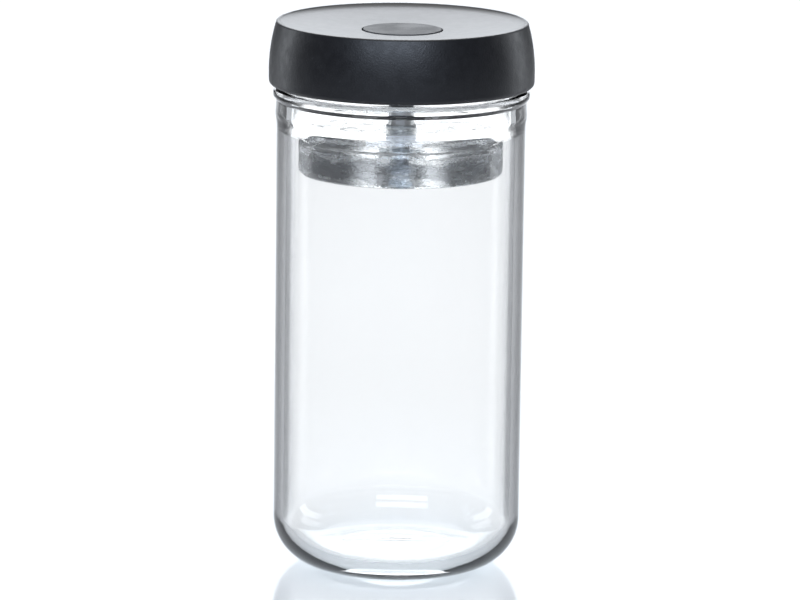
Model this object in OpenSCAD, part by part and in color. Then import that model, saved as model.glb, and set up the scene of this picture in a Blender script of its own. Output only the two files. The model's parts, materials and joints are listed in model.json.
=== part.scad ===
// Fermentation jar: a tall glass jar with a screw lid, a press-to-vent valve in the lid
// and a glass press weight that hangs from the lid by a snap-in knob.
// Millimetres, +Z up, origin at the middle of the base.

/* [Jar] */
// Outside diameter of the straight glass body
body_d = 115; // [95:1:140]
// Height of the straight body, from the base to the shoulder band
body_h = 210; // [150:1:280]
// Thickness of the side wall
wall_t = 4.5; // [3.5:0.5:6]
// Thickness of the floor
floor_t = 7; // [5:0.5:10]
// Outside radius of the rounded base
base_r = 22; // [12:1:28]
// Inside radius where the wall meets the floor
heel_r = 17; // [8:1:20]
// Width of the flat ring that the jar stands on
foot_w = 9; // [5:1:12]
// Depth of the shallow hollow under the base
punt_depth = 1.5; // [0.5:0.1:3]

/* [Neck] */
// How far the shoulder band stands out from the body
band_out = 0.7; // [0.3:0.1:1.5]
// Height of the shoulder band
band_h = 9; // [6:0.5:14]
// Height of the slope from the body out to the band
band_slope_h = 5; // [2:0.5:7]
// How far the band draws in again towards the bead
band_taper = 0.4; // [0.1:0.1:0.6]
// Height of the bead below the lid
bead_h = 5.2; // [3:0.1:8]
// How far the bead stands out from the body
bead_out = 1.8; // [1:0.1:2.5]
// How far the outside of the neck is set in from the body
neck_step = 1.9; // [1:0.1:3]
// Height of the neck from the bead to the rim
neck_h = 19; // [17:0.5:30]
// Thickness of the neck's wall
neck_t = 4.6; // [3.5:0.1:6]

/* [Thread] */
// Number of thread ridges around the neck
thread_starts = 6; // [4:1:8]
// Rise of the lid in one full turn
thread_lead = 36; // [24:1:48]
// Arc of each ridge on the neck, in degrees
neck_ridge_arc = 40; // [20:1:44]
// Arc of each ridge in the liner, in degrees
liner_ridge_arc = 34; // [20:1:44]
// How far a ridge stands out of its wall
ridge_depth = 1.6; // [1:0.1:2]
// Width of a ridge at its foot
ridge_foot_w = 3; // [2:0.1:4]
// Width of a ridge at its crest
ridge_crest_w = 1.6; // [0.8:0.1:2]
// Room between the crests and the facing wall
thread_clear = 0.35; // [0.2:0.05:0.6]
// Room between the flanks of meeting ridges
flank_clear = 0.4; // [0.3:0.05:0.8]
// Height of the middle of the neck's ridges above the bead
ridge_mid_h = 9; // [8:0.5:12]

/* [Lid] */
// Height of the lid from its lower edge to its rim
lid_h = 29.5; // [29:0.1:40]
// Gap between the bead and the lower edge of the lid
lid_gap = 1.8; // [1:0.1:2.2]
// Thickness of the shell's skirt
shell_t = 2; // [1.5:0.1:3]
// Thickness of the shell's top
top_t = 2.2; // [1.5:0.1:2.6]
// Depth of the dished top below the rim, at the button
dish_depth = 4; // [2.5:0.1:4.4]
// How far the dished top falls from the rim to the button
dish_fall = 2.8; // [0.5:0.1:3]
// Radius of the hollow curve that joins the dished top to the rim
dish_curve_r = 11; // [4:0.5:14]
// Radius of the rounded rim
rim_round = 1.1; // [0.8:0.1:1.4]
// Radius of the skirt's gentle outward curve
skirt_arc_r = 79; // [60:1:200]
// Height above the lower edge where the skirt is widest
skirt_bulge_h = 6.5; // [5:0.1:10]
// Radius of the skirt's rounded lower edge
skirt_edge_r = 2.4; // [2:0.1:4]
// Thickness of the liner's collar, outside its thread
collar_t = 1.5; // [1.2:0.1:2.5]
// Thickness of the liner's plate
plate_t = 1.8; // [1.2:0.1:2]
// Gap between the liner and the shell
shell_gap = 0.3; // [0.2:0.05:0.5]
// Width of the ring that joins the shell to the liner's plate
weld_w = 1.6; // [1:0.1:3]
// Radius of that ring
weld_r = 40; // [32:1:44]
// Thickness of the gasket
gasket_t = 1.8; // [1.2:0.1:2.5]
// Gap on either face of the gasket before the lid is tightened
seal_gap = 0.15; // [0.1:0.05:0.3]
// Gap between the gasket and the walls of its seat
gasket_side_gap = 0.3; // [0.2:0.05:0.5]
// Height of the plug ring that enters the neck
plug_h = 3.6; // [2:0.1:6]
// Thickness of the plug ring
plug_t = 1.4; // [1:0.1:2]
// Gap between the plug ring and the neck
plug_gap = 0.6; // [0.4:0.1:1]

/* [Vent] */
// Diameter of the press button
button_d = 36.8; // [30:0.2:44]
// How far the button stands above the dished top
button_proud = 0.4; // [0:0.1:1]
// Travel of the button
button_travel = 3; // [2:0.1:4]
// Gap around the button
button_gap = 0.3; // [0.2:0.05:0.5]
// Thickness of the button's cap
button_t = 2; // [1.5:0.1:2.5]
// Height of the button's guide skirt below its cap
button_skirt_h = 6; // [4:0.5:7]
// Thickness of the button's guide skirt
button_skirt_t = 1.6; // [1.2:0.1:2.5]
// Radius of the rounded edge of the button
button_edge_r = 0.6; // [0.3:0.1:1]
// Thickness of the guide sleeve in the shell
sleeve_t = 1.6; // [1.2:0.1:2.5]
// Height of the guide sleeve below the shell's top
sleeve_h = 4.5; // [3:0.5:6]
// Depth of the valve well below the top of the liner's plate
well_depth = 10.5; // [9:0.5:14]
// Thickness of the well's wall and floor
well_t = 2; // [1.5:0.1:2.5]
// Radius of the valve stem
stem_r = 2.5; // [2.2:0.1:3]
// Width of the gas passage around the stem
passage_w = 1.5; // [1:0.1:2]
// Width of the valve seat outside the passage
seat_w = 3.2; // [2.5:0.1:4]
// Thickness of the valve head
head_t = 3.4; // [3:0.1:5]
// Thickness of the valve's soft washer
valve_seal_t = 1.2; // [0.8:0.1:2]
// Radius of the screw that holds the stem
screw_r = 1.5; // [1.25:0.05:1.6]
// Radius of the screw's head
screw_head_r = 2.75; // [2.4:0.05:3]
// Height of the screw's head
screw_head_h = 1.6; // [1.2:0.1:2]
// Thickness of the boss that takes the stem and screw
boss_t = 1.6; // [1.2:0.1:2.5]
// Depth of the stem in the boss
stem_grip = 3; // [2:0.1:5]
// Gap between pieces that are pushed or screwed together
snug_gap = 0.05; // [0.02:0.01:0.1]
// Diameter of the spring's wire
spring_wire = 0.9; // [0.6:0.1:1.2]
// Turns of the spring
spring_turns = 6; // [4:0.5:7]
// Gap at the sides and ends of the spring
spring_gap = 0.3; // [0.2:0.05:0.5]
// Diameter of the one-way valve's soft cap
umbrella_d = 12; // [9:0.5:14]
// Thickness of the one-way valve's soft cap
umbrella_t = 1.4; // [1:0.1:2]
// Radius of the one-way valve's stem
umbrella_stem_r = 1.6; // [1.2:0.1:2]
// How far the one-way valve's barb stands out below the floor
umbrella_barb = 0.9; // [0.5:0.1:1.5]
// Radius of the small vent holes below the one-way valve
vent_hole_r = 0.8; // [0.5:0.1:1]
// Number of small vent holes
vent_holes = 4; // [3:1:6]

/* [Socket] */
// Room between the valve head and the socket's cage
cage_clear = 0.5; // [0.3:0.1:1]
// Thickness of the cage
cage_t = 1.5; // [1.2:0.1:2.5]
// Height of the ring that holds the cage under the well
cage_ring_h = 4; // [3:0.5:6]
// Thickness of that ring
cage_ring_t = 1.8; // [1.2:0.1:2.5]
// Height of the open windows in the cage
window_h = 4; // [3:0.5:5]
// Width of the open windows in the cage
window_w = 5; // [4:0.5:7]
// Number of windows
windows = 4; // [3:1:5]
// Thickness of the cage's floor
cage_floor_t = 2; // [1.5:0.1:3]
// Radius of the knob's pin
pin_r = 3.5; // [3:0.1:4.5]
// Room between the pin and the socket's bore
pin_clear = 0.15; // [0.1:0.05:0.3]
// Thickness of the socket's tube
tube_t = 2.1; // [1.8:0.1:3]
// Length of the pin inside the socket
pin_grip = 7.5; // [6:0.5:8]
// Height of the soft grip ring
grip_h = 2; // [1.5:0.1:3]
// Depth of the grip ring's groove in the tube
grip_depth = 1.2; // [0.8:0.1:1.4]
// Depth of the groove around the pin
pin_groove = 0.3; // [0.1:0.1:0.5]

/* [Weight] */
// Gap between the weight and the inside of the neck
weight_gap = 3.7; // [2:0.1:8]
// Height of the weight's wide lower disc
disc_h = 16.1; // [10:0.1:24]
// Height of the weight's narrower upper tier
tier_h = 7.1; // [4:0.1:12]
// How far the upper tier is set in from the disc
tier_step = 4.8; // [3:0.1:10]
// Radius of the weight's rounded edges
weight_edge_r = 2.4; // [1:0.1:3]
// Depth of the weight's top below the rim of the jar
weight_depth = 34.6; // [30:0.1:60]
// Height of the knob's collar
collar_h = 4.4; // [3:0.1:8]
// Gap between the knob's collar and the socket
collar_gap = 0.3; // [0.2:0.05:0.5]
// Room between the pin and the hole in the glass
hole_clear = 0.7; // [0.4:0.1:1]
// Thickness of the soft washers
washer_t = 1; // [0.8:0.1:2]
// Width of the soft washers
washer_w = 3.4; // [2.5:0.1:5]
// Width of the nut across its flats
nut_flats = 11; // [10:0.5:14]
// Height of the nut
nut_h = 4.2; // [3:0.1:6]
// Room around and below the nut in its recess
recess_clear = 0.8; // [0.5:0.1:1.5]
// Gap between the lowered weight and the glass
land_gap = 0.3; // [0.2:0.1:1]

/* [Hidden] */
$fn = 96;
over = 1;

// Jar
body_r = body_d / 2;
inner_r = body_r - wall_t;
punt_r = body_r - base_r - foot_w;
punt_ball_r = (punt_r * punt_r + punt_depth * punt_depth) / (2 * punt_depth);
band_r = body_r + band_out;
bead_r = body_r + bead_out;
neck_r = body_r - neck_step;
neck_in_r = neck_r - neck_t;
bead_z = body_h + band_h;
bead_top_z = bead_z + bead_h;
rim_z = bead_top_z + neck_h;
lip_r = neck_t / 2;
shoulder_low_z = body_h - band_h / 2;

// Thread: each ridge is a piece of a ring, tipped to the lead
ridge_r = neck_r + ridge_depth;
ridge_tilt = atan(thread_lead / (2 * PI * neck_r));
ridge_sink = 0.8;
ridge_z = bead_top_z + ridge_mid_h;
liner_r = ridge_r + thread_clear;
ridge_drop = (ridge_foot_w + ridge_crest_w) / 2 + flank_clear;

// Lid, from its lower edge up
lid_z = bead_top_z + lid_gap;
lid_top_z = lid_z + lid_h;
shell_in_r = liner_r + collar_t + shell_gap;
lid_r = shell_in_r + shell_t;
arc_x = lid_r - skirt_arc_r;
arc_z = lid_z + skirt_bulge_h;
edge_z = lid_z + skirt_edge_r;
edge_x = arc_inset_x(skirt_edge_r, edge_z);
edge_meet_z = arc_meet_z(skirt_edge_r, edge_z);
rim_mid_z = lid_top_z - rim_round;
rim_x = arc_inset_x(rim_round, rim_mid_z);
rim_meet_z = arc_meet_z(rim_round, rim_mid_z);
dish_z = lid_top_z - dish_depth;
under_z = dish_z - top_t;
gasket_z = rim_z + seal_gap;
plate_z = gasket_z + gasket_t + seal_gap;
plate_top_z = plate_z + plate_t;
plug_r = neck_in_r - plug_gap;
gasket_in_r = plug_r + gasket_side_gap;
gasket_out_r = neck_r;
collar_top_r = gasket_out_r + gasket_side_gap;
collar_step_z = rim_z - lip_r;

// Vent, from the button down
button_r = button_d / 2;
button_top_z = dish_z + button_proud;
button_under_z = button_top_z - button_t;
button_skirt_z = button_under_z - button_skirt_h;
sleeve_r = button_r + button_gap;
well_z = plate_top_z - well_depth;
seat_z = well_z - well_t;
passage_r = stem_r + passage_w;
head_r = passage_r + seat_w;
cage_in_r = head_r + cage_clear;
cage_r = cage_in_r + cage_t;
cage_ring_r = cage_r + snug_gap;
cage_ring_out_r = cage_ring_r + cage_ring_t;
valve_seal_z = seat_z - seal_gap - valve_seal_t;
head_z = valve_seal_z - head_t;
stem_bore_r = screw_r + snug_gap;
boss_r = stem_r + snug_gap + boss_t;
boss_z = well_z + button_travel + over;
stem_top_z = boss_z + stem_grip;
screw_head_z = head_z + screw_head_h;
screw_top_z = button_under_z - over;
spring_r = boss_r + spring_gap + spring_wire / 2;
spring_low_z = well_z + spring_gap + spring_wire / 2;
spring_high_z = button_under_z - spring_gap - spring_wire / 2;
spring_rings = 18;
spring_sides = 8;
umbrella_r = umbrella_d / 2;
vent_ring_r = (umbrella_r + umbrella_stem_r) / 2;
umbrella_x = max(
    spring_r + spring_wire + umbrella_r,
    cage_ring_out_r + vent_ring_r + vent_hole_r,
    cage_ring_out_r + umbrella_stem_r + umbrella_barb
) + shell_gap;
well_r = max(umbrella_x + umbrella_r, sleeve_r + sleeve_t) + shell_gap;

// Dished top: a cone up from the button's hole, then a hollow curve that touches the round rim
dish_slope = atan(dish_fall / (rim_x - sleeve_r));
rim_along = (rim_x - sleeve_r) * cos(dish_slope) + (rim_mid_z - dish_z) * sin(dish_slope);
rim_above = (rim_mid_z - dish_z) * cos(dish_slope) - (rim_x - sleeve_r) * sin(dish_slope);
touch_r = dish_curve_r + rim_round;
cone_run = rim_along - sqrt(pow(touch_r, 2) - pow(dish_curve_r - rim_above, 2));
dish_edge_x = sleeve_r + cone_run * cos(dish_slope);
dish_edge_z = dish_z + cone_run * sin(dish_slope);
curve_x = dish_edge_x - dish_curve_r * sin(dish_slope);
curve_z = dish_edge_z + dish_curve_r * cos(dish_slope);
rim_touch_x = rim_x + (curve_x - rim_x) * rim_round / touch_r;
rim_touch_z = rim_mid_z + (curve_z - rim_mid_z) * rim_round / touch_r;

// Weight
weight_r = neck_in_r - weight_gap;
tier_r = weight_r - tier_step;
weight_top_z = rim_z - weight_depth;
disc_top_z = weight_top_z - tier_h;
weight_z = disc_top_z - disc_h;
hole_r = pin_r + hole_clear;
washer_r = pin_r + washer_w;
nut_r = nut_flats / 2 / cos(30);
recess_r = max(nut_r, washer_r) + recess_clear;
recess_z = weight_z + recess_clear + nut_h + washer_t;

// Socket and knob
cage_in_z = head_z - button_travel - over;
cage_z = cage_in_z - cage_floor_t;
window_z = cage_in_z + over / 2;
bore_r = pin_r + pin_clear;
tube_r = bore_r + tube_t;
collar_z = weight_top_z + washer_t;
collar_top_z = collar_z + collar_h;
tube_z = collar_top_z + collar_gap;
pin_top_z = collar_top_z + pin_grip;
cone_z = max(cage_z - (cage_r - tube_r), tube_z + grip_h);
grip_mid_z = tube_z + pin_grip / 2;
grip_r = bore_r + grip_depth;
pin_tip_r = pin_r / 2;

// How far down the weight can be lowered before it meets the rounded inside of the base
heel_x = inner_r - heel_r;
heel_room = heel_r - weight_edge_r;
edge_reach = max(weight_r - weight_edge_r - heel_x, 0);
landing_z = floor_t + heel_r - weight_edge_r
    - sqrt(max(heel_room * heel_room - edge_reach * edge_reach, 0)) + land_gap;
weight_travel = weight_z - landing_z;
echo(weight_travel = weight_travel, lid_diameter = 2 * lid_r, height = lid_top_z);

// Centre of a small circle that touches the skirt's curve from inside, at a given height
function arc_inset_x(r, z) = arc_x + sqrt(pow(skirt_arc_r - r, 2) - pow(z - arc_z, 2));
// Height at which that small circle meets the curve
function arc_meet_z(r, z) = z + r * (z - arc_z) / (skirt_arc_r - r);

// A rectangle in the section plane, from its inner low corner to its outer high corner
module block(r0, z0, r1, z1) {
    translate([r0, z0]) square([r1 - r0, z1 - z0]);
}

// A circle in the section plane
module disc(r, z, radius) {
    translate([r, z]) circle(radius);
}

// A ring of rectangular section
module ring(r0, r1, z0, z1) {
    rotate_extrude() block(r0, z0, r1, z1);
}

// A section from the axis out to r1, with both outer corners rounded
module round_block(z0, r1, z1, edge) {
    block(0, z0, r1 - edge, z1);
    block(0, z0 + edge, r1, z1 - edge);
    disc(r1 - edge, z0 + edge, edge);
    disc(r1 - edge, z1 - edge, edge);
}

// The ridges of one thread, standing from r_foot to r_crest at mid height z
module thread(r_foot, r_crest, z, arc) {
    for (i = [0 : thread_starts - 1])
        translate([0, 0, z])
            rotate([0, 0, i * 360 / thread_starts])
                rotate([ridge_tilt, 0, 0])
                    rotate([0, 0, -arc / 2])
                        rotate_extrude(angle = arc)
                            polygon([
                                [r_foot, -ridge_foot_w / 2],
                                [r_crest, -ridge_crest_w / 2],
                                [r_crest, ridge_crest_w / 2],
                                [r_foot, ridge_foot_w / 2]
                            ]);
}

// Outside of the jar: rounded base, straight body, shoulder band, bead and neck
module jar_outside() {
    block(0, 0, body_r - base_r, base_r + over);
    disc(body_r - base_r, base_r, base_r);
    block(0, base_r, body_r, body_h);
    polygon([
        [0, body_h - band_slope_h / 2],
        [body_r, body_h - band_slope_h / 2],
        [band_r, body_h + band_slope_h / 2],
        [band_r - band_taper, bead_z + bead_h / 2],
        [0, bead_z + bead_h / 2]
    ]);
    disc(bead_r - bead_h / 2, bead_z + bead_h / 2, bead_h / 2);
    block(0, bead_z, neck_r, rim_z - lip_r);
    block(0, bead_z, neck_r - lip_r, rim_z);
    disc(neck_r - lip_r, rim_z - lip_r, lip_r);
}

// Inside of the jar, with the inner half of the round lip left standing
module jar_inside() {
    block(0, floor_t, inner_r - heel_r, floor_t + heel_r + over);
    disc(inner_r - heel_r, floor_t + heel_r, heel_r);
    block(0, floor_t + heel_r, inner_r, shoulder_low_z);
    polygon([
        [0, shoulder_low_z - over],
        [inner_r, shoulder_low_z - over],
        [inner_r, shoulder_low_z],
        [neck_in_r, bead_z],
        [0, bead_z]
    ]);
    block(0, bead_z - over, neck_in_r, rim_z - lip_r);
    difference() {
        block(0, rim_z - lip_r - over, neck_in_r + lip_r, rim_z + over);
        disc(neck_in_r + lip_r, rim_z - lip_r, lip_r);
        block(neck_in_r, rim_z - lip_r - 2 * over, neck_in_r + 2 * lip_r, rim_z - lip_r);
    }
}

module jar_glass() {
    color("lightcyan", 0.5)
        difference() {
            union() {
                rotate_extrude() jar_outside();
                thread(neck_r - ridge_sink, ridge_r, ridge_z, neck_ridge_arc);
            }
            rotate_extrude() jar_inside();
            translate([0, 0, punt_depth - punt_ball_r]) sphere(punt_ball_r);
        }
}

module rim_gasket() {
    color("gainsboro") ring(gasket_in_r, gasket_out_r, gasket_z, gasket_z + gasket_t);
}

// The skirt's curve moved inwards by a depth, between two heights
module skirt_curve(depth, z0, z1) {
    intersection() {
        disc(arc_x, arc_z, skirt_arc_r - depth);
        block(0, z0, lid_r + over, z1);
    }
}

// Section of the shell: curved skirt, round rim, dished top, hollow below
module shell_section() {
    difference() {
        union() {
            skirt_curve(0, edge_meet_z, rim_meet_z);
            disc(edge_x, edge_z, skirt_edge_r);
            block(0, lid_z, edge_x, edge_meet_z + over);
            disc(rim_x, rim_mid_z, rim_round);
            polygon([
                [0, rim_meet_z - over],
                [rim_x, rim_meet_z - over],
                [rim_x, rim_mid_z],
                [rim_touch_x, rim_touch_z],
                [0, rim_touch_z]
            ]);
        }
        disc(curve_x, curve_z, dish_curve_r);
        polygon([
            [0, dish_z],
            [sleeve_r, dish_z],
            [dish_edge_x, dish_edge_z],
            [curve_x, curve_z],
            [0, curve_z]
        ]);
        skirt_curve(shell_t, lid_z - over, under_z);
        polygon([
            [0, under_z - over],
            [0, under_z],
            [sleeve_r, under_z],
            [dish_edge_x, dish_edge_z - top_t],
            [dish_edge_x, under_z - over]
        ]);
    }
}

module lid_shell() {
    color("#26272b")
        difference() {
            union() {
                rotate_extrude() shell_section();
                ring(weld_r, weld_r + weld_w, plate_top_z, dish_z);
                ring(sleeve_r - over / 2, sleeve_r + sleeve_t, under_z - sleeve_h, under_z + top_t / 2);
            }
            translate([0, 0, under_z - sleeve_h - over])
                cylinder(r = sleeve_r, h = sleeve_h + top_t + dish_depth);
        }
}

// Section of the liner: threaded collar, plate, plug ring and valve well
module liner_section() {
    difference() {
        skirt_curve(shell_t + shell_gap, lid_z + 2 * shell_gap, plate_top_z);
        block(0, lid_z, liner_r, collar_step_z);
        block(0, lid_z, collar_top_r, plate_z);
        block(0, lid_z, well_r, plate_top_z + over);
    }
    block(plug_r - plug_t, plate_z - plug_h, plug_r, plate_z + plate_t / 2);
    block(well_r, seat_z, well_r + well_t, plate_top_z);
    block(passage_r, seat_z, well_r + well_t, well_z);
    block(cage_ring_r, seat_z - cage_ring_h, cage_ring_out_r, seat_z + well_t / 2);
}

module lid_liner() {
    color("#3a3b3f")
        difference() {
            union() {
                rotate_extrude() liner_section();
                thread(liner_r + ridge_sink, liner_r - ridge_depth, ridge_z - ridge_drop,
                    liner_ridge_arc);
            }
            translate([umbrella_x, 0, seat_z - over]) {
                cylinder(r = umbrella_stem_r + snug_gap, h = well_t + 2 * over);
                for (i = [0 : vent_holes - 1])
                    rotate([0, 0, i * 360 / vent_holes])
                        translate([vent_ring_r, 0, 0])
                            cylinder(r = vent_hole_r, h = well_t + 2 * over);
            }
        }
}

// Section of the button: cap with a rounded edge, guide skirt and boss
module button_section() {
    block(0, button_under_z, button_r - button_edge_r, button_top_z);
    block(0, button_under_z, button_r, button_top_z - button_edge_r);
    disc(button_r - button_edge_r, button_top_z - button_edge_r, button_edge_r);
    block(button_r - button_skirt_t, button_skirt_z, button_r, button_under_z + button_t / 2);
    difference() {
        block(0, boss_z, boss_r, button_under_z + button_t / 2);
        block(0, boss_z - over, stem_r + snug_gap, stem_top_z);
        block(0, boss_z - over, screw_r + snug_gap, screw_top_z + over / 2);
    }
}

module vent_button() {
    color("#55585d") rotate_extrude() button_section();
}

// A point on the spring: turn by turn along the coil, side by side around the wire
function spring_point(i, j) = let (
        turn = i * 360 / spring_rings,
        side = j * 360 / spring_sides,
        r = spring_r + spring_wire / 2 * cos(side),
        climb = (spring_high_z - spring_low_z) * i / (spring_turns * spring_rings)
    ) [r * cos(turn), r * sin(turn), spring_low_z + climb + spring_wire / 2 * sin(side)];

module button_spring() {
    last = floor(spring_turns * spring_rings);
    points = [for (i = [0 : last], j = [0 : spring_sides - 1]) spring_point(i, j)];
    walls = [for (i = [0 : last - 1], j = [0 : spring_sides - 1]) let (
            k = (j + 1) % spring_sides,
            a = i * spring_sides + j,
            b = i * spring_sides + k,
            c = (i + 1) * spring_sides + k,
            d = (i + 1) * spring_sides + j
        ) each [[a, b, c], [a, c, d]]];
    first_end = [for (j = [1 : spring_sides - 2]) [0, j + 1, j]];
    far_end = [for (j = [1 : spring_sides - 2])
        [last * spring_sides, last * spring_sides + j, last * spring_sides + j + 1]];
    color("silver") polyhedron(points, concat(walls, first_end, far_end));
}

module valve_stem() {
    color("whitesmoke")
        rotate_extrude()
            difference() {
                union() {
                    block(0, head_z, head_r, valve_seal_z);
                    block(0, head_z, stem_r, stem_top_z);
                }
                block(0, head_z - over, stem_bore_r, stem_top_z + over);
                block(0, head_z - over, screw_head_r + snug_gap, screw_head_z);
            }
}

module valve_seal() {
    color("lightgray")
        ring(stem_r + snug_gap, head_r - snug_gap, valve_seal_z, valve_seal_z + valve_seal_t);
}

module valve_screw() {
    color("silver") {
        translate([0, 0, head_z]) cylinder(r = screw_head_r, h = screw_head_h);
        translate([0, 0, head_z]) cylinder(r = screw_r, h = screw_top_z - head_z);
    }
}

module umbrella_valve() {
    color("lightgray")
        translate([umbrella_x, 0, 0])
            rotate_extrude()
                polygon([
                    [0, seat_z - 2 * umbrella_barb],
                    [umbrella_stem_r, seat_z - 2 * umbrella_barb],
                    [umbrella_stem_r + umbrella_barb, seat_z],
                    [umbrella_stem_r, seat_z],
                    [umbrella_stem_r, well_z],
                    [umbrella_r, well_z],
                    [umbrella_r, well_z + umbrella_t / 3],
                    [umbrella_stem_r, well_z + umbrella_t],
                    [0, well_z + umbrella_t]
                ]);
}

// Section of the socket: cage around the valve head, then a cone down to the tube
module socket_section() {
    difference() {
        polygon([
            [0, tube_z],
            [tube_r, tube_z],
            [tube_r, cone_z],
            [cage_r, cage_z],
            [cage_r, seat_z],
            [0, seat_z]
        ]);
        block(0, cage_in_z, cage_in_r, seat_z + over);
        block(0, tube_z - over, bore_r, pin_top_z + over / 2);
        block(0, grip_mid_z - grip_h / 2, grip_r, grip_mid_z + grip_h / 2);
    }
}

module weight_socket() {
    color("#1d1e21")
        difference() {
            rotate_extrude() socket_section();
            for (i = [0 : windows - 1])
                rotate([0, 0, i * 360 / windows])
                    translate([0, -window_w / 2, window_z])
                        cube([cage_r + over, window_w, window_h]);
        }
}

module socket_ring() {
    color("lightgray")
        ring(pin_r + snug_gap, grip_r - snug_gap, grip_mid_z - grip_h / 2 + snug_gap,
            grip_mid_z + grip_h / 2 - snug_gap);
}

// Section of the knob: round-tipped pin with a groove, collar, shank through the glass
module knob_section() {
    difference() {
        union() {
            block(0, weight_z + recess_clear, pin_r, pin_top_z - pin_tip_r);
            block(0, weight_z + recess_clear, pin_r - pin_tip_r, pin_top_z);
            disc(pin_r - pin_tip_r, pin_top_z - pin_tip_r, pin_tip_r);
            block(0, collar_z, tube_r, collar_top_z);
        }
        block(pin_r - pin_groove, grip_mid_z - grip_h / 2, pin_r + over, grip_mid_z + grip_h / 2);
    }
}

module weight_knob() {
    color("silver") rotate_extrude() knob_section();
}

// Section of the weight: wide disc, sloping shoulder, narrower tier, hole and nut recess
module weight_section() {
    difference() {
        union() {
            round_block(weight_z, weight_r, disc_top_z, weight_edge_r);
            polygon([
                [0, disc_top_z - weight_edge_r],
                [weight_r - weight_edge_r, disc_top_z - weight_edge_r],
                [weight_r - weight_edge_r, disc_top_z],
                [tier_r, weight_top_z - weight_edge_r],
                [0, weight_top_z - weight_edge_r]
            ]);
            round_block(disc_top_z, tier_r, weight_top_z, weight_edge_r);
        }
        block(0, weight_z - over, hole_r, weight_top_z + over);
        block(0, weight_z - over, recess_r, recess_z);
    }
}

module weight_glass() {
    color("azure", 0.5) rotate_extrude() weight_section();
}

module washer_upper() {
    color("lightgray") ring(pin_r + snug_gap, washer_r, weight_top_z, collar_z);
}

module washer_lower() {
    color("lightgray") ring(pin_r + snug_gap, washer_r, recess_z - washer_t, recess_z);
}

module weight_nut() {
    color("silver")
        translate([0, 0, recess_z - washer_t - nut_h])
            difference() {
                cylinder(r = nut_r, h = nut_h, $fn = 6);
                translate([0, 0, -over]) cylinder(r = pin_r + snug_gap, h = nut_h + 2 * over);
            }
}

jar_glass();
rim_gasket();
lid_shell();
lid_liner();
vent_button();
button_spring();
valve_stem();
valve_seal();
valve_screw();
umbrella_valve();
weight_socket();
socket_ring();
weight_knob();
weight_glass();
washer_upper();
washer_lower();
weight_nut();
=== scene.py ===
import json
import math

import bpy
import numpy as np
from mathutils import Matrix, Vector


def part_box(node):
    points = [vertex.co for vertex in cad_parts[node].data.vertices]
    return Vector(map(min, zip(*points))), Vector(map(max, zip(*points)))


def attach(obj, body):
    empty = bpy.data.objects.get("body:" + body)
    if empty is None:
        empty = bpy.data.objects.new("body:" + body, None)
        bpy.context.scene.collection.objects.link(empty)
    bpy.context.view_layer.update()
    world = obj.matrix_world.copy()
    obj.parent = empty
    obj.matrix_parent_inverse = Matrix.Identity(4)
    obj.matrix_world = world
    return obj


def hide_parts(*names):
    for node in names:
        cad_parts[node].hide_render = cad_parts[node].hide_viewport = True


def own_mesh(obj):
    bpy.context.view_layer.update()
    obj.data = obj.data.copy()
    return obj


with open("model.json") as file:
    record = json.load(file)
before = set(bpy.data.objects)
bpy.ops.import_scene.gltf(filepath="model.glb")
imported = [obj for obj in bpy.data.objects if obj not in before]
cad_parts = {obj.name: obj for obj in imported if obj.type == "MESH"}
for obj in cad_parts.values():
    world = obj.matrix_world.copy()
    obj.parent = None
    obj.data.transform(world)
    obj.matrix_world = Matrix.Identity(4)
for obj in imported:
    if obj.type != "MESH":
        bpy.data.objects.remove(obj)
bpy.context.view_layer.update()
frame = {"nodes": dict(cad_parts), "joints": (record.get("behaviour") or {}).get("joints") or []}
mm = 0.001  # all sizes of pieces below are in millimetres


def nodeSpan(name):
    low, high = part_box(name)  # outer radius, lowest and highest point of a round node, in mm
    return (high.x - low.x) / 2 / mm, low.z / mm, high.z / mm


# camera
shot = {
    "distance": 2.5,  # metres from the aim point
    "elevation": 11.59,  # degrees above the floor
    "roll": 0.75,  # degrees, so that the top of the jar leans right
    "aim": (0.00055, 0.0, 0.12444),
    "lens": 242.0, "sensor": 36.0,  # mm
    "farthest": 50.0,  # metres that it sees
}


def placeCamera(look):
    # stands on a sphere round the aim point, then rolls about its own view line
    lift = math.radians(look["elevation"])
    away = Vector((0.0, -math.cos(lift), math.sin(lift)))
    data = bpy.data.cameras.new("camera")
    data.lens = look["lens"]
    data.sensor_width = look["sensor"]
    data.clip_end = look["farthest"]
    camera = bpy.data.objects.new("camera", data)
    place = Matrix.Translation(Vector(look["aim"]) + look["distance"] * away)
    facing = (-away).to_track_quat("-Z", "Y").to_matrix().to_4x4()
    camera.matrix_world = place @ facing @ Matrix.Rotation(math.radians(look["roll"]), 4, "Z")
    bpy.context.scene.collection.objects.link(camera)
    bpy.context.scene.camera = camera


placeCamera(shot)
print("camera placed")


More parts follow.
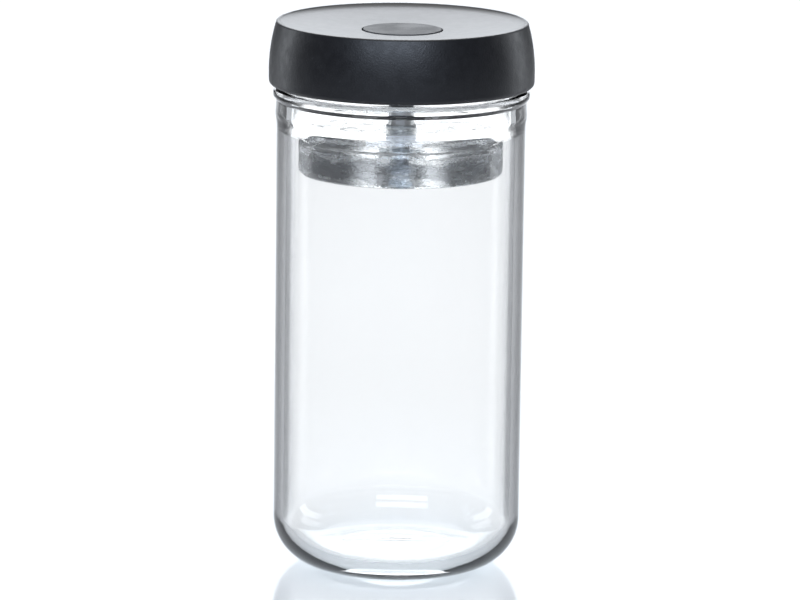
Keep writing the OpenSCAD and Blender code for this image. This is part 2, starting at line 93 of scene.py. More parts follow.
# shader sockets
class Wire:
    # one socket of a material; sums and products of wires add Math nodes
    def __init__(self, tree, socket=None):
        self.tree = tree
        self.socket = socket

    def node(self, kind, settings=None, inputs=None, out=0):
        made = self.tree.nodes.new(kind)
        for key, value in (settings or {}).items():
            setattr(made, key, value)
        for key, value in (inputs or {}).items():
            if isinstance(value, Wire):
                self.tree.links.new(value.socket, made.inputs[key])
            else:
                made.inputs[key].default_value = value
        return Wire(self.tree, made.outputs[out])

    def math(self, operation, first, second):
        return self.node("ShaderNodeMath", {"operation": operation}, {0: first, 1: second})

    def __add__(self, other):
        return self.math("ADD", self, other)

    def __radd__(self, other):
        return self.math("ADD", other, self)

    def __sub__(self, other):
        return self.math("SUBTRACT", self, other)

    def __rsub__(self, other):
        return self.math("SUBTRACT", other, self)

    def __mul__(self, other):
        return self.math("MULTIPLY", self, other)

    def __rmul__(self, other):
        return self.math("MULTIPLY", other, self)

    def place(self):
        return self.node("ShaderNodeTexCoord", out="Object")

    def split(self, vector):
        # the x, y and z of a vector
        parts = self.node("ShaderNodeSeparateXYZ", None, {0: vector}).socket.node.outputs
        return [Wire(self.tree, part) for part in parts]

    def noise(self, scale, detail=2.0, rough=0.5, stretch=(1.0, 1.0, 1.0)):
        # cloudy noise on the piece's own coordinates, scale in cycles per metre
        place = self.place()
        if stretch != (1.0, 1.0, 1.0):
            place = self.node("ShaderNodeVectorMath", {"operation": "MULTIPLY"}, {0: place, 1: stretch})
        sizes = {"Vector": place, "Scale": scale, "Detail": detail, "Roughness": rough}
        return self.node("ShaderNodeTexNoise", None, sizes, "Fac")

    def between(self, value, low, high, toLow=0.0, toHigh=1.0):
        # eases from toLow to toHigh while value goes from low to high
        sizes = {"Value": value, "From Min": low, "From Max": high, "To Min": toLow, "To Max": toHigh}
        return self.node("ShaderNodeMapRange", {"interpolation_type": "SMOOTHSTEP"}, sizes)

    def around(self, cloud, middle, reach):
        # follows a noise, which lies mostly from 0.3 to 0.7, up to reach below and above middle
        return self.between(cloud, 0.3, 0.7, middle - reach, middle + reach)

    def mixColour(self, share, first, second):
        return self.node("ShaderNodeMix", {"data_type": "RGBA"}, {0: share, 6: first, 7: second}, 2)

    def bump(self, height, distance):
        return self.node("ShaderNodeBump", None, {"Distance": distance, "Height": height})


def newMaterial(name):
    material = bpy.data.materials.new(name)
    material.use_nodes = True
    tree = material.node_tree
    return material, Wire(tree), tree.nodes["Principled BSDF"]


def feed(wire, shader, values):
    # sets plain numbers on the shader's sockets and links wires to them
    for key, value in values.items():
        if isinstance(value, Wire):
            wire.tree.links.new(value.socket, shader.inputs[key])
        else:
            shader.inputs[key].default_value = value


# materials
def clearGlass(name, look):
    # clear pressed glass with slow and fine ripple and a little haze, and lamps shine through it;
    # its colour holds painted shade: darker where an upright wall turns away, standing in for the
    # dark edges that the surroundings give, and, for a look with band heights, a ragged band of painted
    # shade round its sides
    material, wire, shader = newMaterial(name)
    slow = wire.noise(look["ripple"], detail=1.0, stretch=look["stretch"])
    fine = wire.noise(look["fineRipple"], detail=1.0, stretch=look["stretch"])
    haze = wire.noise(look["haze"], stretch=look["stretch"])
    _, _, lean = wire.split(wire.node("ShaderNodeTexCoord", out="Normal"))
    upright = wire.between(lean * lean, look["leanFrom"], look["leanTo"], 1.0, 0.0)
    turnedAway = wire.node("ShaderNodeLayerWeight", None, {"Blend": 0.5}, "Facing")
    # painted shade: the colour turns to the dark edge colour where an upright wall turns away from the
    # view
    paintedShade = wire.between(turnedAway, look["edgeShadeFrom"], look["edgeShadeTo"])
    if "shadeBandHigh" in look:
        # a ragged band of painted shade round the sides, standing in for dark reflections in the glass
        _, _, height = wire.split(wire.place())
        ragged = height + (slow - 0.5) * (look["shadeBandRagged"] * mm)
        high = look["shadeBandHigh"] * mm
        low = look["shadeBandLow"] * mm
        fade = look["shadeBandFade"] * mm
        shadeBand = wire.between(ragged, high, high - fade) * wire.between(ragged, low, low + fade)
        paintedShade = wire.math("MAXIMUM", paintedShade, shadeBand)
    feed(wire, shader, {
        "Base Color": wire.mixColour(upright * paintedShade, look["colour"], look["edge"]),
        "Roughness": wire.between(haze, look["hazeFrom"], look["hazeTo"], 0.0, look["hazeRough"]),
        "IOR": look["ior"],
        "Transmission Weight": 1.0,
        "Normal": wire.bump(slow + fine * look["fineShare"], look["rippleDepth"] * mm),
    })
    ray = wire.node("ShaderNodeLightPath", out="Is Shadow Ray")
    glass = Wire(wire.tree, shader.outputs[0])
    through = wire.node("ShaderNodeBsdfTransparent", None, {"Color": look["shade"]})
    mix = wire.node("ShaderNodeMixShader", None, {0: ray, 1: glass, 2: through})
    wire.tree.links.new(mix.socket, wire.tree.nodes["Material Output"].inputs["Surface"])
    return material


def satinBlack(look, rimRadius, dishZ):
    # black moulded plastic: fine grain on the skirt, a smoother dished top inside the rim
    material, wire, shader = newMaterial("satin_black")
    x, y, z = wire.split(wire.place())
    radius = wire.math("POWER", x * x + y * y, 0.5)
    inRim = wire.between(radius, rimRadius * mm, (rimRadius - look["rimFade"]) * mm)
    onTop = inRim * wire.between(z, (dishZ - look["topFrom"]) * mm, (dishZ - look["topTo"]) * mm)
    grain = wire.noise(look["grain"], detail=3.0, rough=0.6)
    cloud = wire.noise(look["cloud"])
    skirtRough = wire.around(cloud, look["skirtRough"], look["skirtVary"])
    topRough = wire.around(cloud, look["topRough"], look["topVary"])
    feed(wire, shader, {
        "Base Color": wire.mixColour(cloud, look["dark"], look["light"]),
        "Roughness": skirtRough + onTop * (topRough - skirtRough),
        "IOR": look["ior"],
        "Normal": wire.bump(grain * (1 - onTop * look["topSmooth"]), look["grainDepth"] * mm),
    })
    return material


def mattePlastic(name, look):
    # moulded plastic of one colour with a fine grain
    material, wire, shader = newMaterial(name)
    cloud = wire.noise(look["cloud"])
    feed(wire, shader, {
        "Base Color": wire.mixColour(cloud, look["dark"], look["light"]),
        "Roughness": wire.around(cloud, look["rough"], look["roughVary"]),
        "IOR": 1.5,
        "Normal": wire.bump(wire.noise(look["grain"]), look["grainDepth"] * mm),
    })
    return material


def polishedSteel(look):
    # stainless steel with a soft, slightly cloudy polish
    material, wire, shader = newMaterial("polished_steel")
    cloud = wire.noise(look["cloud"], detail=3.0)
    feed(wire, shader, {
        "Base Color": wire.mixColour(cloud, look["dark"], look["light"]),
        "Metallic": 1.0,
        "Roughness": wire.around(cloud, look["rough"], look["roughVary"]),
    })
    return material


def paleSilicone(look):
    # translucent silicone, milky and soft
    material, wire, shader = newMaterial("pale_silicone")
    cloud = wire.noise(look["cloud"])
    feed(wire, shader, {
        "Base Color": wire.mixColour(cloud, look["dark"], look["light"]),
        "Roughness": wire.around(cloud, look["rough"], look["roughVary"]),
        "IOR": 1.41,
        "Subsurface Weight": look["milk"],
        "Subsurface Radius": look["milkDepth"],
    })
    return material


def addMesh(name, points, faces):
    mesh = bpy.data.meshes.new(name)
    mesh.from_pydata(points, [], faces)
    piece = bpy.data.objects.new(name, mesh)
    bpy.context.scene.collection.objects.link(piece)
    return piece


# sections and turned pieces
def section(corners, step=3.0, fan=6.0, closed=False):
    # walks from corner to corner; each corner (r, z, radius) becomes the arc that touches
    # both its sides, arcs are cut every fan degrees and all runs every step mm, or as often
    # as the corner before a run says with a fourth number; gives r, z and the outward
    # normal, which lies to the right of the walk
    place = np.array([c[:2] for c in corners], float)
    count = len(corners)
    pieces = []
    lastPoint = None
    for k in range(count + 1 if closed else count):
        i = k % count
        here = place[i]
        radius = corners[i][2] if len(corners[i]) > 2 else 0.0
        atEnd = not closed and i in (0, count - 1)
        if atEnd or radius == 0.0:
            arc = here[None, :]
            normals = None
        else:
            back = place[i - 1] - here
            ahead = place[(i + 1) % count] - here
            back = back / np.hypot(*back)
            ahead = ahead / np.hypot(*ahead)
            turn = math.pi - math.acos(np.clip(back @ ahead, -1, 1))
            reach = radius * math.tan(turn / 2)
            middle = here + (back + ahead) / np.hypot(*(back + ahead)) * radius / math.cos(turn / 2)
            side = math.copysign(1.0, ahead[0] * back[1] - ahead[1] * back[0])  # left turn is convex
            first = here + back * reach - middle
            start = math.atan2(first[1], first[0])
            cuts = max(2, math.ceil(math.degrees(turn) / fan), math.ceil(radius * turn / step))
            angles = start + side * np.linspace(0, turn, cuts + 1)
            ring = np.stack([np.cos(angles), np.sin(angles)], 1)
            arc = middle + radius * ring
            normals = side * ring
        if lastPoint is not None:
            run = arc[0] - lastPoint
            length = np.hypot(*run)
            across = np.array([run[1], -run[0]]) / max(length, 1e-9)
            runStep = corners[i - 1][3] if len(corners[i - 1]) > 3 else step
            cuts = np.linspace(0, 1, max(1, math.ceil(length / runStep)) + 1)[1:-1, None]
            pieces.append(np.hstack([lastPoint + cuts * run, np.tile(across, (len(cuts), 1))]))
        if normals is None:
            nextPlace = place[(i + 1) % count] if i + 1 < count or closed else 2 * here - place[i - 1]
            along = nextPlace - here
            normals = np.array([[along[1], -along[0]]]) / np.hypot(*along)
        if k < count:
            pieces.append(np.hstack([arc, normals]))
        lastPoint = arc[-1]
    return np.vstack(pieces)


def turned(name, walk, steps, closed=False, swell=None):
    # revolves the walk about Z: x = r cos t, y = r sin t; swell(z, t, normal) adds to r
    angle = np.linspace(0, 2 * math.pi, steps, endpoint=False)[None, :]
    r, z, normalR, normalZ = (walk[:, i, None] for i in range(4))
    cos, sin = np.cos(angle), np.sin(angle)
    extra = swell(z, angle, normalR) if swell else np.zeros((len(walk), steps))
    spot = np.stack([(r + extra) * cos, (r + extra) * sin, z + 0 * angle], 2) * mm
    normal = np.stack([normalR * cos, normalR * sin, normalZ + 0 * angle], 2)
    if swell:
        upWay = np.gradient(spot, axis=0)
        roundWay = np.roll(spot, -1, 1) - np.roll(spot, 1, 1)
        bent = np.cross(roundWay, upWay)
        bent = bent / np.maximum(np.linalg.norm(bent, axis=2, keepdims=True), 1e-12)
        moved = np.abs(extra) + np.abs(np.roll(extra, 1, 0)) + np.abs(np.roll(extra, -1, 0)) > 1e-6
        normal = np.where(moved[:, :, None], bent, normal)
    rows = len(walk)
    index = np.arange(rows * steps).reshape(rows, steps)
    low = index if closed else index[:-1]
    high = np.roll(index, -1, 0) if closed else index[1:]
    quads = np.stack([low, np.roll(low, -1, 1), np.roll(high, -1, 1), high], 2).reshape(-1, 4)
    points = spot.reshape(-1, 3)
    normals = normal.reshape(-1, 3)
    if not closed:  # the first and last rows lie on the axis, so each becomes one point
        inner = quads[(quads >= steps).all(1) & (quads < (rows - 1) * steps).all(1)]
        bottom = np.stack([np.zeros(steps, int), np.roll(index[1], -1), index[1]], 1)
        top = np.stack([np.full(steps, (rows - 1) * steps), index[-2], np.roll(index[-2], -1)], 1)
        keep = np.concatenate([[0], np.arange(steps, (rows - 1) * steps), [(rows - 1) * steps]])
        newIndex = np.zeros(rows * steps, int)
        newIndex[keep] = np.arange(len(keep))
        faces = newIndex[inner].tolist() + newIndex[bottom].tolist() + newIndex[top].tolist()
        points, normals = points[keep], normals[keep]
    else:
        faces = quads.tolist()
    piece = addMesh(name, points.tolist(), faces)
    piece.data.polygons.foreach_set("use_smooth", np.ones(len(faces), bool))
    piece.data.normals_split_custom_set_from_vertices(normals)
    return piece


def fit(piece, material, body, node):
    piece.data.materials.append(material)
    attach(piece, body)
    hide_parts(node)


# jar
jarForm = {
    "steps": 288,
    "beadOut": 1.8, "beadHeight": 5.2, "beadSlope": 52.0,
    "beadUnder": 1.9, "beadOver": 1.7, "beadFoot": 0.3, "crease": 0.1,
    "bandOut": 0.7, "bandHeight": 9.0, "bandTaper": 0.4,
    "bandSlope": 5.0, "bandFoot": 25.0, "bandRidge": 10.0,
    "neckStep": 1.9, "neckWall": 4.6, "neckHeight": 19.0, "throatRound": 8.0,
    "lipGap": 0.02,  # keeps the two rounds of the lip apart
    "wall": 4.5, "floor": 7.0, "baseRound": 22.0, "heelRound": 17.0,
    "footWidth": 9.0, "puntDepth": 1.5, "puntRound": 8.0,
    "puntShare": 0.9,  # of the radius of the ball that would fit the hollow under the base
    "ridges": 6, "ridgeLead": 36.0, "ridgeArc": 40.0, "ridgeDepth": 1.6,
    "ridgeFoot": 3.0, "ridgeCrest": 1.6, "ridgeMid": 9.0, "ridgeFade": 4.0,
    "ridgeFrom": 1.0, "ridgeStep": 0.35,
}
jarLook = {
    # edge is a painted shade colour for upright walls that turn away, standing in for the dark edges of
    # the surroundings
    "colour": (0.954, 0.948, 0.936, 1.0), "edge": (0.083, 0.083, 0.084, 1.0),
    "shade": (0.93, 0.95, 0.95, 1.0), "ior": 1.5,
    "edgeShadeFrom": 0.47, "edgeShadeTo": 0.8, "leanFrom": 0.005, "leanTo": 0.12,
    "ripple": 30.0, "fineRipple": 150.0, "fineShare": 0.15, "rippleDepth": 0.06,
    "stretch": (1.0, 1.0, 0.35),
    "haze": 30.0, "hazeFrom": 0.45, "hazeTo": 0.75, "hazeRough": 0.03,
}


def makeJar(form):
    beadR, _, rimZ = nodeSpan("jar_glass")
    bodyR = beadR - form["beadOut"]
    bandR = bodyR + form["bandOut"]
    neckR = bodyR - form["neckStep"]
    neckIn = neckR - form["neckWall"]
    innerR = bodyR - form["wall"]
    beadTop = rimZ - form["neckHeight"]
    beadZ = beadTop - form["beadHeight"]
    bodyTop = beadZ - form["bandHeight"]
    puntR = bodyR - form["baseRound"] - form["footWidth"]
    puntBall = form["puntShare"] * (puntR ** 2 / form["puntDepth"] + form["puntDepth"]) / 2
    lip = form["neckWall"] / 2 - form["lipGap"]

    # the bead leaves a sharp crease as a cone, and its outer face and top are rounds
    creaseR = bandR - form["bandTaper"]
    underZ = beadZ + (beadR - creaseR) * math.tan(math.radians(form["beadSlope"]))
    corners = [
        (0.0, form["puntDepth"]),
        (puntR / 2, form["puntDepth"], puntBall),
        (puntR, 0.0, form["puntRound"]),
        (bodyR, 0.0, form["baseRound"]),
        (bodyR, bodyTop - form["bandSlope"] / 2, form["bandFoot"]),
        (bandR, bodyTop + form["bandSlope"] / 2, form["bandRidge"]),
        (creaseR, beadZ, form["crease"]),
        (beadR, underZ, form["beadUnder"]),
        (beadR, beadTop, form["beadOver"]),
        (neckR, beadTop, form["beadFoot"], form["ridgeStep"]),
        (neckR, rimZ, lip),
        (neckIn, rimZ, lip),
        (neckIn, beadZ, form["throatRound"]),
        (innerR, bodyTop - form["bandHeight"] / 2, form["throatRound"]),
        (innerR, form["floor"], form["heelRound"]),
        (0.0, form["floor"]),
    ]

    def ridge(z, angle, normalR):
        # each ridge climbs by the lead as it goes round, is flat on its crest, slopes to
        # its foot on both sides and fades out at its two ends
        pitch = 2 * math.pi / form["ridges"]
        turn = (angle + pitch / 2) % pitch - pitch / 2
        rise = z - (beadTop + form["ridgeMid"]) - form["ridgeLead"] * turn / (2 * math.pi)
        slope = (form["ridgeFoot"] - form["ridgeCrest"]) / 2
        across = np.clip((form["ridgeFoot"] / 2 - np.abs(rise)) / slope, 0, 1)
        ends = (form["ridgeArc"] / 2 - np.degrees(np.abs(turn))) / form["ridgeFade"]
        crest = across * np.clip(ends, 0, 1)
        crest = crest * crest * (3 - 2 * crest)
        onNeck = (normalR > 0.999) * (z > beadTop + form["ridgeFrom"])  # only its upright outer wall
        return form["ridgeDepth"] * crest * onNeck

    return turned("jar", section(corners), form["steps"], swell=ridge)


jar = makeJar(jarForm)
fit(jar, clearGlass("clear_glass", jarLook), "jar", "jar_glass")
print("jar made")


# lid shell
lidForm = {
    "steps": 256, "height": 29.5,
    "wall": 2.0, "curve": 79.0, "bulge": 6.5, "edgeRound": 2.4, "edgeShare": 0.88, "wallRound": 0.1,
    "curveFrom": 5.0, "curveTo": 2.0,  # from the lower edge and the top, outside the skirt
    "innerFrom": 2.0, "innerTo": 8.0,  # the same inside it
    "topThick": 2.2, "dishDepth": 4.0, "dishFall": 2.8, "dishCurve": 11.0, "rimRound": 1.08,
    "hole": 18.7, "holeEdge": 0.35,
    "sleeveWall": 1.6, "sleeveHeight": 4.5, "sleeveRound": 0.3, "sleeveRoot": 0.5,
    "weldRadius": 40.0, "weldWidth": 1.6, "weldDrop": 2.18, "weldRound": 0.2, "weldRoot": 0.3,
    "ceilingRound": 0.6, "ceilingCorner": 0.8,
}
lidLook = {
    "dark": (0.0065, 0.0068, 0.0088, 1.0), "light": (0.0085, 0.0089, 0.0112, 1.0), "ior": 1.47,
    "skirtRough": 0.38, "skirtVary": 0.04, "topRough": 0.34, "topVary": 0.008,
    "grain": 1100.0, "grainDepth": 0.08, "topSmooth": 0.9, "cloud": 240.0,
    "rimFade": 1.0, "topFrom": 0.8, "topTo": 0.3,
}


def makeLid(form):
    lidR, _, topZ = nodeSpan("lid_shell")
    lowZ = topZ - form["height"]
    bulgeZ = lowZ + form["bulge"]
    curveX = lidR - form["curve"]
    innerCurve = form["curve"] - form["wall"]

    def curveCorner(radius, fromZ, toZ):
        # the corner whose arc is the skirt's curve between two heights, and its two ends' slopes
        low = math.asin((fromZ - bulgeZ) / radius)
        high = math.asin((toZ - bulgeZ) / radius)
        half = (high - low) / 2
        mid = (high + low) / 2
        far = radius / math.cos(half)
        return curveX + far * math.cos(mid), bulgeZ + far * math.sin(mid), low, high

    outX, outZ, outLow, outHigh = curveCorner(
        form["curve"], lowZ + form["curveFrom"], topZ - form["curveTo"]
    )
    inX, inZ, _, inHigh = curveCorner(innerCurve, lowZ + form["innerFrom"], topZ - form["innerTo"])
    rimX = outX - (topZ - outZ) * math.tan(outHigh)

    # the lower edge is a round that touches the skirt and is cut off by the inner wall
    roundZ = lowZ + form["edgeRound"]
    roundX = curveX + math.sqrt((form["curve"] - form["edgeRound"]) ** 2 - (roundZ - bulgeZ) ** 2)
    wallX = curveX + math.sqrt(innerCurve ** 2 - (lowZ - bulgeZ) ** 2)
    wallDrop = math.sqrt(form["edgeRound"] ** 2 - (wallX - roundX) ** 2)
    wallZ = roundZ - wallDrop
    footSlope = (wallX - roundX) / wallDrop
    footTurn = math.tan(outLow)
    footX = (outX + (outZ - wallZ + footSlope * wallX) * footTurn) / (1 + footSlope * footTurn)
    footZ = wallZ + (footX - wallX) * footSlope
    footRound = form["edgeRound"] * form["edgeShare"]

    # the dish rises as a cone from the hole, then a hollow curve touches the rim's round
    dishZ = topZ - form["dishDepth"]
    hole = form["hole"]
    bowl = form["dishCurve"]
    rimMidZ = topZ - form["rimRound"]
    rimMidX = curveX + math.sqrt((form["curve"] - form["rimRound"]) ** 2 - (rimMidZ - bulgeZ) ** 2)
    slope = math.atan(form["dishFall"] / (rimMidX - hole))
    along = (rimMidX - hole) * math.cos(slope) + (rimMidZ - dishZ) * math.sin(slope)
    above = (rimMidZ - dishZ) * math.cos(slope) - (rimMidX - hole) * math.sin(slope)
    coneRun = along - math.sqrt((bowl + form["rimRound"]) ** 2 - (bowl - above) ** 2)
    edgeX = hole + coneRun * math.cos(slope)
    edgeZ = dishZ + coneRun * math.sin(slope)
    lean = math.atan2(rimMidX - edgeX + bowl * math.sin(slope), edgeZ + bowl * math.cos(slope) - rimMidZ)
    reach = bowl * math.tan((lean - slope) / 2)
    bowlX = edgeX + reach * math.cos(slope)
    bowlZ = edgeZ + reach * math.sin(slope)
    rimInX = bowlX + (topZ - bowlZ) / math.tan(lean)

    def ceiling(r):
        # the top's underside runs parallel to the dish
        return dishZ - form["topThick"] + (r - hole) * math.tan(slope)

    ceilZ = ceiling(hole)
    ceilX = inX - (ceilZ - inZ) * math.tan(inHigh)
    sleeveZ = ceilZ - form["sleeveHeight"]
    sleeveR = hole + form["sleeveWall"]
    weldIn = form["weldRadius"]
    weldOut = weldIn + form["weldWidth"]
    weldZ = ceilZ - form["weldDrop"]
    corners = [
        (wallX, wallZ, form["wallRound"]),
        (footX, footZ, footRound),
        (outX, outZ, form["curve"]),
        (rimX, topZ, form["rimRound"]),
        (rimInX, topZ, form["rimRound"]),
        (bowlX, bowlZ, bowl),
        (hole, dishZ, form["holeEdge"]),
        (hole, sleeveZ, form["sleeveRound"]),
        (sleeveR, sleeveZ, form["sleeveRound"]),
        (sleeveR, ceiling(sleeveR), form["sleeveRoot"]),
        (weldIn, ceiling(weldIn), form["weldRoot"]),
        (weldIn, weldZ, form["weldRound"]),
        (weldOut, weldZ, form["weldRound"]),
        (weldOut, ceiling(weldOut), form["weldRoot"]),
        (edgeX, ceiling(edgeX), form["ceilingRound"]),
        (edgeX, ceilZ, form["ceilingRound"]),
        (ceilX, ceilZ, form["ceilingCorner"]),
        (inX, inZ, innerCurve),
    ]
    walk = section(corners, fan=4.0, closed=True)
    return turned("lid", walk, form["steps"], closed=True), rimInX, dishZ


lid, lidRim, lidDish = makeLid(lidForm)
fit(lid, satinBlack(lidLook, lidRim, lidDish), "lid", "lid_shell")
print("lid made")


# button
buttonForm = {
    "steps": 160,
    "inset": 0.2,  # narrower than its node, so that the gap round it shows
    "cap": 2.0, "edge": 0.5, "skirtWall": 1.4, "skirtHeight": 6.0,
    "bossRadius": 4.15, "bossDepth": 10.0, "bore": 1.55, "boreTop": 0.5,
    "grip": 2.55, "gripDepth": 3.0, "gripSeat": 0.1,
    "fineRound": 0.2, "endRound": 0.3, "rootRound": 0.5,
}
buttonLook = {
    "dark": (0.027, 0.029, 0.034, 1.0), "light": (0.033, 0.035, 0.040, 1.0),
    "rough": 0.55, "roughVary": 0.05, "grain": 2000.0, "grainDepth": 0.02, "cloud": 90.0,
}


def makeButton(form):
    nodeR, _, topZ = nodeSpan("vent_button")
    buttonR = nodeR - form["inset"]
    innerR = buttonR - form["skirtWall"]
    underZ = topZ - form["cap"]
    boreZ = underZ - form["boreTop"]
    bossZ = underZ - form["bossDepth"]
    gripZ = bossZ + form["gripDepth"]
    skirtZ = underZ - form["skirtHeight"]
    corners = [
        (0.0, boreZ),
        (form["bore"], boreZ, form["fineRound"]),
        (form["bore"], gripZ, form["gripSeat"]),
        (form["grip"], gripZ, form["fineRound"]),
        (form["grip"], bossZ, form["fineRound"]),
        (form["bossRadius"], bossZ, form["endRound"]),
        (form["bossRadius"], underZ, form["rootRound"]),
        (innerR, underZ, form["rootRound"]),
        (innerR, skirtZ, form["fineRound"]),
        (buttonR, skirtZ, form["endRound"]),
        (buttonR, topZ, form["edge"]),
        (0.0, topZ),
    ]
    return turned("button", section(corners), form["steps"])


button = makeButton(buttonForm)
fit(button, mattePlastic("button_grey", buttonLook), "button", "vent_button")
print("button made")


# press weight
weightForm = {
    "steps": 240, "edge": 2.4, "ledge": 0.3, "shoulder": 1.2,
    "tierHeight": 7.1, "tierStep": 6.0, "tierRound": 3.0,
    "hole": 4.2, "holeRound": 0.4, "recess": 7.7, "recessDepth": 6.0, "mouthRound": 0.6,
}
weightLook = {
    # edge is a painted shade colour for upright walls that turn away, standing in for the dark edges of
    # the surroundings
    "colour": (0.845, 0.86, 0.868, 1.0), "edge": (0.275, 0.288, 0.304, 1.0),
    "shade": (0.9, 0.93, 0.93, 1.0), "ior": 1.51,
    "edgeShadeFrom": 0.75, "edgeShadeTo": 0.95, "leanFrom": 0.005, "leanTo": 0.12,
    # heights of a ragged band of painted shade round the weight's sides, standing in for dark
    # reflections
    "shadeBandHigh": 198.0, "shadeBandLow": 187.5,  # mm above the floor
    "shadeBandFade": 2.0, "shadeBandRagged": 10.0,
    "ripple": 90.0, "fineRipple": 450.0, "fineShare": 0.6, "rippleDepth": 0.4,
    "stretch": (1.0, 1.0, 2.5),
    "haze": 160.0, "hazeFrom": 0.52, "hazeTo": 0.66, "hazeRough": 0.32,
}


def makeWeight(form):
    outR, lowZ, topZ = nodeSpan("weight_glass")
    discZ = topZ - form["tierHeight"]
    recessZ = lowZ + form["recessDepth"]
    corners = [
        (form["recess"], lowZ, form["mouthRound"]),
        (outR, lowZ, form["edge"]),
        (outR, discZ, form["edge"]),
        (outR - form["edge"] - form["ledge"], discZ, form["shoulder"]),
        (outR - form["tierStep"], topZ, form["tierRound"]),
        (form["hole"], topZ, form["mouthRound"]),
        (form["hole"], recessZ, form["holeRound"]),
        (form["recess"], recessZ, form["mouthRound"]),
    ]
    return turned("weight", section(corners, closed=True), form["steps"], closed=True)


weight = makeWeight(weightForm)
fit(weight, clearGlass("weight_glass", weightLook), "weight", "weight_glass")
print("press weight made")


# button spring
springForm = {"wire": 0.9, "turns": 6, "rings": 40, "sides": 12}
steelLook = {
    "dark": (0.72, 0.72, 0.73, 1.0), "light": (0.82, 0.82, 0.83, 1.0),
    "rough": 0.34, "roughVary": 0.05, "cloud": 300.0,
}


def makeSpring(form):
    # a round wire along a helix: ring t has its middle at (R cos t, R sin t, climb), stands
    # upright through the axis, and one flat face closes each end of the wire
    outR, lowZ, highZ = nodeSpan("button_spring")
    half = form["wire"] / 2
    sides = form["sides"]
    share = np.linspace(0, 1, form["turns"] * form["rings"] + 1)[:, None]
    turn = 2 * math.pi * form["turns"] * share
    side = np.linspace(0, 2 * math.pi, sides, endpoint=False)[None, :]
    r = outR - half + half * np.cos(side)
    z = lowZ + half + (highZ - lowZ - form["wire"]) * share + half * np.sin(side)
    spot = np.stack([r * np.cos(turn), r * np.sin(turn), z], 2) * mm
    index = np.arange(spot.shape[0] * sides).reshape(-1, sides)
    ahead = np.roll(index, -1, 1)
    walls = np.stack([index[:-1], index[1:], ahead[1:], ahead[:-1]], 2).reshape(-1, 4)
    ends = [index[0].tolist(), index[-1][::-1].tolist()]
    spring = addMesh("spring", spot.reshape(-1, 3).tolist(), walls.tolist() + ends)
    smooth = np.arange(len(walls) + len(ends)) < len(walls)
    spring.data.polygons.foreach_set("use_smooth", smooth)
    return spring


def shortenWith(piece, joint, node):
    # works out the share of its length that the joint's travel would leave, but only gives the piece its
    # own mesh, so it keeps its full length
    _, lowZ, highZ = nodeSpan(node)
    travel = next(j for j in frame["joints"] if j["name"] == joint)["range_m"][1] / mm
    keep = 1 - travel / (highZ - lowZ)
    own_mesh(piece)


steel = polishedSteel(steelLook)
spring = makeSpring(springForm)
fit(spring, steel, "lid", "button_spring")
shortenWith(spring, "button_press", "button_spring")
print("spring wound")


# pieces that keep their CAD shape
linerLook = {
    "dark": (0.018, 0.0185, 0.020, 1.0), "light": (0.024, 0.0245, 0.026, 1.0),
    "rough": 0.45, "roughVary": 0.05, "grain": 2400.0, "grainDepth": 0.015, "cloud": 70.0,
}
stemLook = {
    "dark": (0.72, 0.72, 0.70, 1.0), "light": (0.80, 0.80, 0.78, 1.0),
    "rough": 0.4, "roughVary": 0.05, "grain": 2400.0, "grainDepth": 0.01, "cloud": 120.0,
}
siliconeLook = {
    "dark": (0.66, 0.67, 0.67, 1.0), "light": (0.78, 0.79, 0.79, 1.0),
    "rough": 0.475, "roughVary": 0.075, "cloud": 120.0,
    "milk": 0.3, "milkDepth": (0.004, 0.004, 0.004),
}

matteBlack = mattePlastic("matte_black", linerLook)
naturalWhite = mattePlastic("natural_white", stemLook)
silicone = paleSilicone(siliconeLook)
carried = {
    "lid_liner": matteBlack,
    "weight_socket": matteBlack,
    "valve_stem": naturalWhite,
    "valve_screw": steel,
    "weight_knob": steel,
    "weight_nut": steel,
    "rim_gasket": silicone,
    "valve_seal": silicone,
    "umbrella_valve": silicone,
    "socket_ring": silicone,
    "washer_upper": silicone,
    "washer_lower": silicone,
}
for nodeName, finish in carried.items():
    nodeMesh = frame["nodes"][nodeName].data
    nodeMesh.materials.clear()
    nodeMesh.materials.append(finish)
print("carried nodes finished:", len(carried))


# studio, in metres
studio = {
    "floorSize": 14.0, "floorDrop": 0.00015,  # below the foot, so that the two faces stay apart
    "floorLight": (0.84, 0.84, 0.84, 1.0), "floorDark": (0.80, 0.80, 0.80, 1.0),
    "floorRough": 0.12, "floorCloud": 3.0, "floorIor": 1.27,
    "world": (0.145, 0.15, 0.158, 1.0),
    "sheetPlace": 3.0, "sheetWidth": 2.2, "sheetFoot": 0.02, "sheetTop": 2.8,
    "sheetLight": 1.58, "sheetRise": 0.8, "sheetFade": 0.5, "sheetColour": (0.96, 1.0, 1.05, 1.0),
    "sheetShare": 0.3,  # keeps the mix of colours below 1 where the sheet is brightest
}
coolLight = (0.95, 1.0, 1.06)
skyLight = (0.88, 1.0, 1.20)
plainLight = (1.0, 1.0, 1.0)
lamps = {  # width, height, place, aim, radiance and colour of each soft box
    "overhead": (0.95, 2.2, (0.0, 0.50, 1.35), (0.0, 0.50, 0.0), 1.45, plainLight),
    "leftBox": (0.30, 0.9, (-1.05, 0.62, 0.45), (0.0, 0.0, 0.15), 3.2, coolLight),
    "rightBox": (0.30, 0.9, (1.05, 0.62, 0.45), (0.0, 0.0, 0.15), 3.2, coolLight),
    "front": (3.1, 0.9, (-0.32, -2.8, 1.62), (0.0, 0.0, 0.2), 6.8, skyLight),
}


def flatSheet(name, spots, material):
    # one rectangle of the studio, given by its four corners
    sheet = addMesh(name, spots, [[0, 1, 2, 3]])
    sheet.data.materials.append(material)
    return sheet


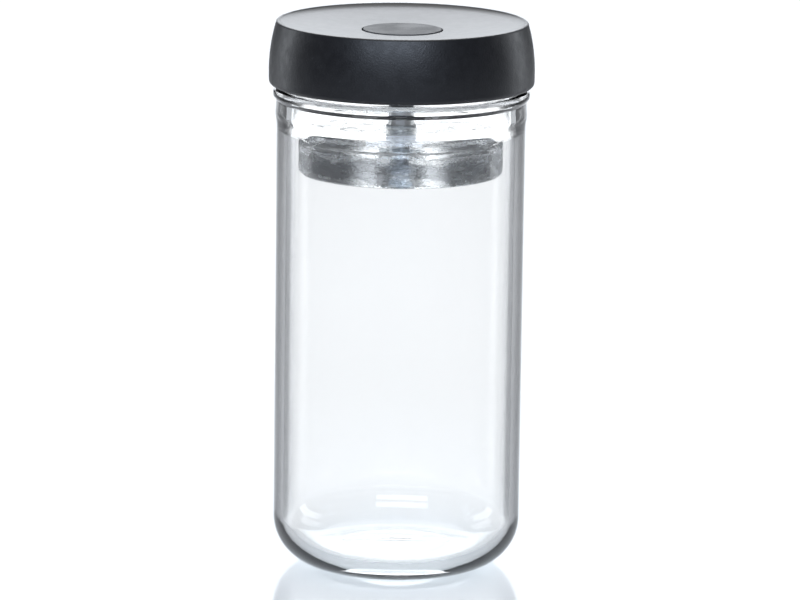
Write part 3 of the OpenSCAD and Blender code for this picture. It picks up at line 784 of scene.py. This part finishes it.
def makeFloor(look):
    # one square sheet just below the jar's foot
    material, wire, shader = newMaterial("pale_floor")
    cloud = wire.noise(look["floorCloud"])
    feed(wire, shader, {
        "Base Color": wire.mixColour(cloud, look["floorDark"], look["floorLight"]),
        "Roughness": look["floorRough"],
        "IOR": look["floorIor"],
    })
    half = look["floorSize"] / 2
    low = -look["floorDrop"]
    spots = [(-half, -half, low), (half, -half, low), (half, half, low), (-half, half, low)]
    flatSheet("floor", spots, material)


def makeBackdrop(look):
    # a glowing sheet behind the jar, which fades out to its sides and its top
    half = look["sheetWidth"] / 2
    away = look["sheetPlace"]
    low = look["sheetFoot"]
    high = look["sheetTop"]
    fade = look["sheetFade"]
    share = look["sheetShare"]
    material, wire, shader = newMaterial("glowing_sheet")
    x, _, z = wire.split(wire.place())
    across = wire.between(x * x, (fade * half) ** 2, half ** 2, 1.0, 0.0)
    upwards = wire.between(z, fade * high, high, 1.0, 0.0) * (1 + look["sheetRise"] * z)
    black = (0.0, 0.0, 0.0, 1.0)
    feed(wire, shader, {
        "Base Color": black,
        "Emission Color": wire.mixColour(across * upwards * share, black, look["sheetColour"]),
        "Emission Strength": look["sheetLight"] / share,
        "Roughness": 1.0,
    })
    spots = [(-half, away, low), (half, away, low), (half, away, high), (-half, away, high)]
    sheet = flatSheet("backdrop", spots, material)
    sheet.visible_camera = False


def makeLamps():
    # a soft box of a given radiance needs pi times that many watts for each square metre
    for name, (width, height, place, aim, radiance, colour) in lamps.items():
        data = bpy.data.lights.new(name, "AREA")
        data.shape = "RECTANGLE"
        data.size = width
        data.size_y = height
        data.energy = radiance * math.pi * width * height
        data.color = colour
        lamp = bpy.data.objects.new(name, data)
        lamp.location = place
        lamp.rotation_euler = (Vector(aim) - Vector(place)).to_track_quat("-Z", "Y").to_euler()
        lamp.visible_camera = False
        bpy.context.scene.collection.objects.link(lamp)


def makeWorld(look):
    world = bpy.data.worlds.new("studio")
    world.use_nodes = True
    back = world.node_tree.nodes["Background"]
    back.inputs["Color"].default_value = look["world"]
    bpy.context.scene.world = world
    bpy.context.scene.view_settings.view_transform = "Standard"


makeFloor(studio)
makeBackdrop(studio)
makeLamps()
makeWorld(studio)
print("studio lit")
